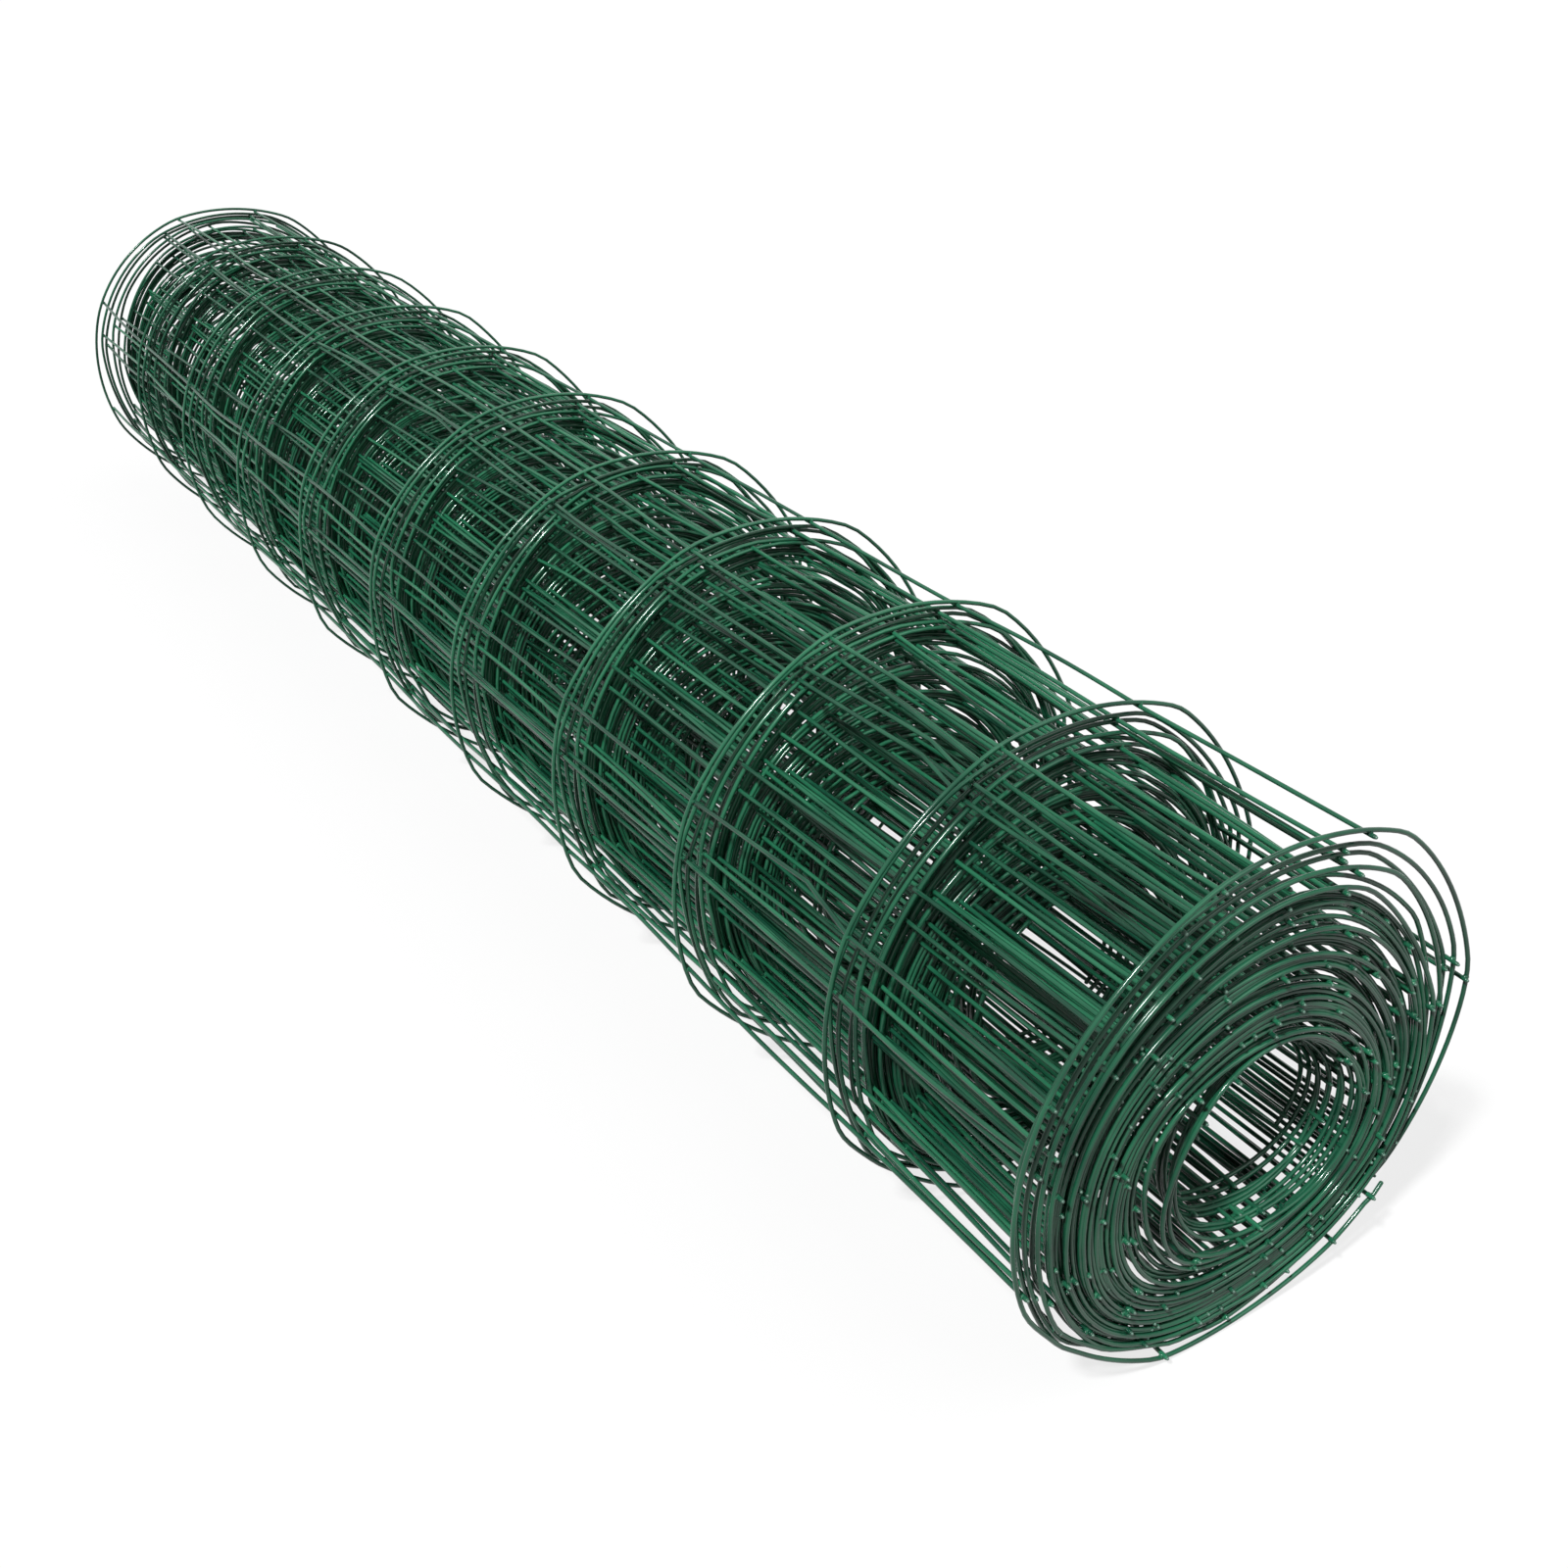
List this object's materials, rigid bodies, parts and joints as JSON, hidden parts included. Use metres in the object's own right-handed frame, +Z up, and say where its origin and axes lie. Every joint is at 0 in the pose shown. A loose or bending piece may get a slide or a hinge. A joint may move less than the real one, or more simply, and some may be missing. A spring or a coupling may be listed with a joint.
{
  "type": "roll of wire fencing",
  "caption": "Roll of green plastic-coated welded wire mesh fencing, wound into a cylinder with an open bore and lying on its side, with line wires as hoops and stays along it.",
  "frame": {"origin": "on the floor, under the middle of the lying roll", "axes": "+X along the roll's axis, towards the end nearest the viewer in the picture; +Z up"},
  "size_m": [1.0326, 0.2, 0.2],
  "materials": {
    "coated_wire": "dark green plastic coating on steel wire, half gloss, with pale scuffs"
  },
  "bodies": {
    "root": {"mesh_roll": "coated_wire"}
  },
  "joints": []
}
